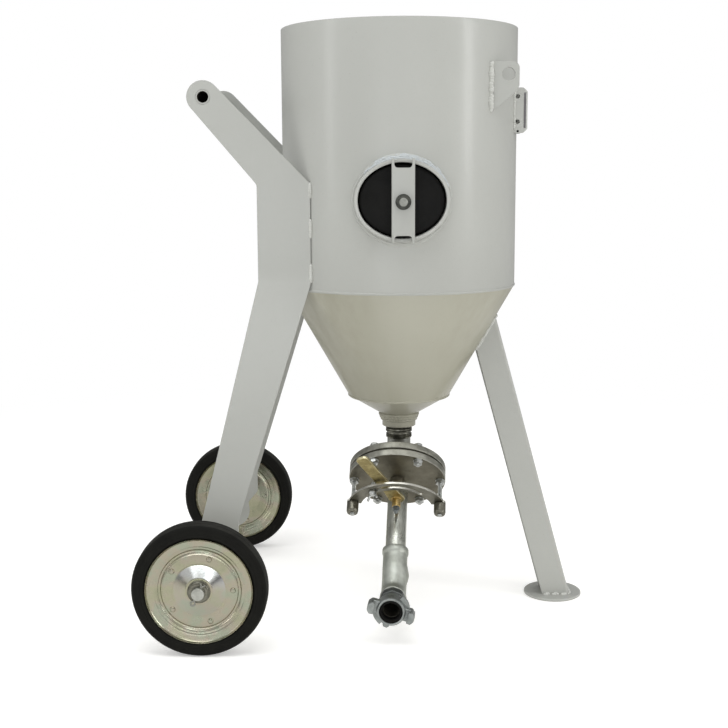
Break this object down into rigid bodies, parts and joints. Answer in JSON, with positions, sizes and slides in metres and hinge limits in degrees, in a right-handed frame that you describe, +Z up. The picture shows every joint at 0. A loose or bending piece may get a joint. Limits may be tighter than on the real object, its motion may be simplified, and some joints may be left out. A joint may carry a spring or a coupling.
{
  "type": "wheeled abrasive blasting pot",
  "caption": "Wheeled abrasive blasting pot: open-topped cone-bottomed vessel, inspection hatch, rear wheels, front leg, 45-degree swing metering valve and claw hose coupling.",
  "frame": {"origin": "centre of the bounding box footprint, on the floor", "axes": "+X from the wheels towards the front foot, +Y away from the inspection hatch, +Z up; metres"},
  "size_m": [0.92, 0.76, 1.207],
  "materials": {
    "paint": "satin",
    "rubber": "matte",
    "black_cover": "matte",
    "zinc": "satin",
    "wheel_zinc": "satin",
    "tyre": "matte",
    "bare_steel": "satin",
    "brass": "satin",
    "fitting": "satin"
  },
  "bodies": {
    "pot": {"shell": "paint", "bottom_cone": "paint", "end_cone": "paint", "outlet_socket": "paint", "fill_head": "paint", "fill_seat": "paint", "seat_seal": "rubber", "guide_pipe": "zinc", "air_socket": "zinc", "hatch_collar": "paint", "hatch_yoke": "paint", "hatch_washer": "zinc", "side_plate_left": "paint", "side_plate_right": "paint", "handle_tube": "paint", "axle": "zinc", "axle_collars": "zinc", "axle_washers": "zinc", "split_pins": "zinc", "front_leg": "paint", "foot_plate": "paint", "lifting_lugs": "paint", "control_bracket": "paint", "outlet_nipple": "bare_steel", "inlet_elbow": "fitting", "valve_body": "bare_steel", "valve_spacer": "bare_steel", "valve_plate": "bare_steel", "flange_bolts": "zinc", "flange_nuts": "zinc", "sector": "bare_steel", "sector_bolts": "zinc", "sector_bushes": "bare_steel", "outlet_pipe": "zinc", "outlet_elbow": "fitting", "claw_coupling": "fitting", "coupling_seal": "rubber"},
    "wheel_left": {"tyre_left": "tyre", "wheel_disc_left": "wheel_zinc", "wheel_back_left": "wheel_zinc", "wheel_hub_left": "wheel_zinc", "wheel_rivets_left": "wheel_zinc"},
    "wheel_right": {"tyre_right": "tyre", "wheel_disc_right": "wheel_zinc", "wheel_back_right": "wheel_zinc", "wheel_hub_right": "wheel_zinc", "wheel_rivets_right": "wheel_zinc"},
    "fill_plug": {"popup_plug": "rubber"},
    "hatch": {"hatch_cover": "black_cover", "hatch_gasket": "rubber", "hatch_stud": "zinc"},
    "hatch_nut": {"hatch_nut": "zinc"},
    "valve_lever": {"orifice_plate": "bare_steel", "spindle": "brass", "lever": "brass", "spindle_nut": "zinc"},
    "lever_stop": {"stop_bolt": "zinc"}
  },
  "joints": [
    {"name": "wheel_left_spin", "type": "hinge", "parent": "pot", "child": "wheel_left", "pos_m": [-0.329, 0.342, 0.131], "axis": [0, 1, 0], "continuous": true},
    {"name": "wheel_right_spin", "type": "hinge", "parent": "pot", "child": "wheel_right", "pos_m": [-0.329, -0.342, 0.131], "axis": [0, 1, 0], "continuous": true},
    {"name": "fill_plug_rise", "type": "slide", "parent": "pot", "child": "fill_plug", "axis": [0, 0, 1], "range_m": [0, 0.035]},
    {"name": "hatch_slide", "type": "slide", "parent": "pot", "child": "hatch", "axis": [0, 1, 0], "range_m": [0, 0.01]},
    {"name": "hatch_nut_turn", "type": "hinge", "parent": "pot", "child": "hatch_nut", "pos_m": [0.0622, -0.287, 0.864], "axis": [0, -1, 0], "range_deg": [0, 1800.2]},
    {"name": "lever_swing", "type": "hinge", "parent": "pot", "child": "valve_lever", "pos_m": [0.0546, -0.07004, 0.27382], "axis": [0.0493, 0.7054, 0.7071], "range_deg": [-3, 50]},
    {"name": "stop_slide", "type": "hinge", "parent": "pot", "child": "lever_stop", "pos_m": [0.0546, -0.07004, 0.27382], "axis": [0.0493, 0.7054, 0.7071], "range_deg": [-7, 0]}
  ],
  "couplings": [
    {"joint": "hatch_nut_turn", "follows": "hatch_slide", "rad_per_m": 3141.6}
  ]
}
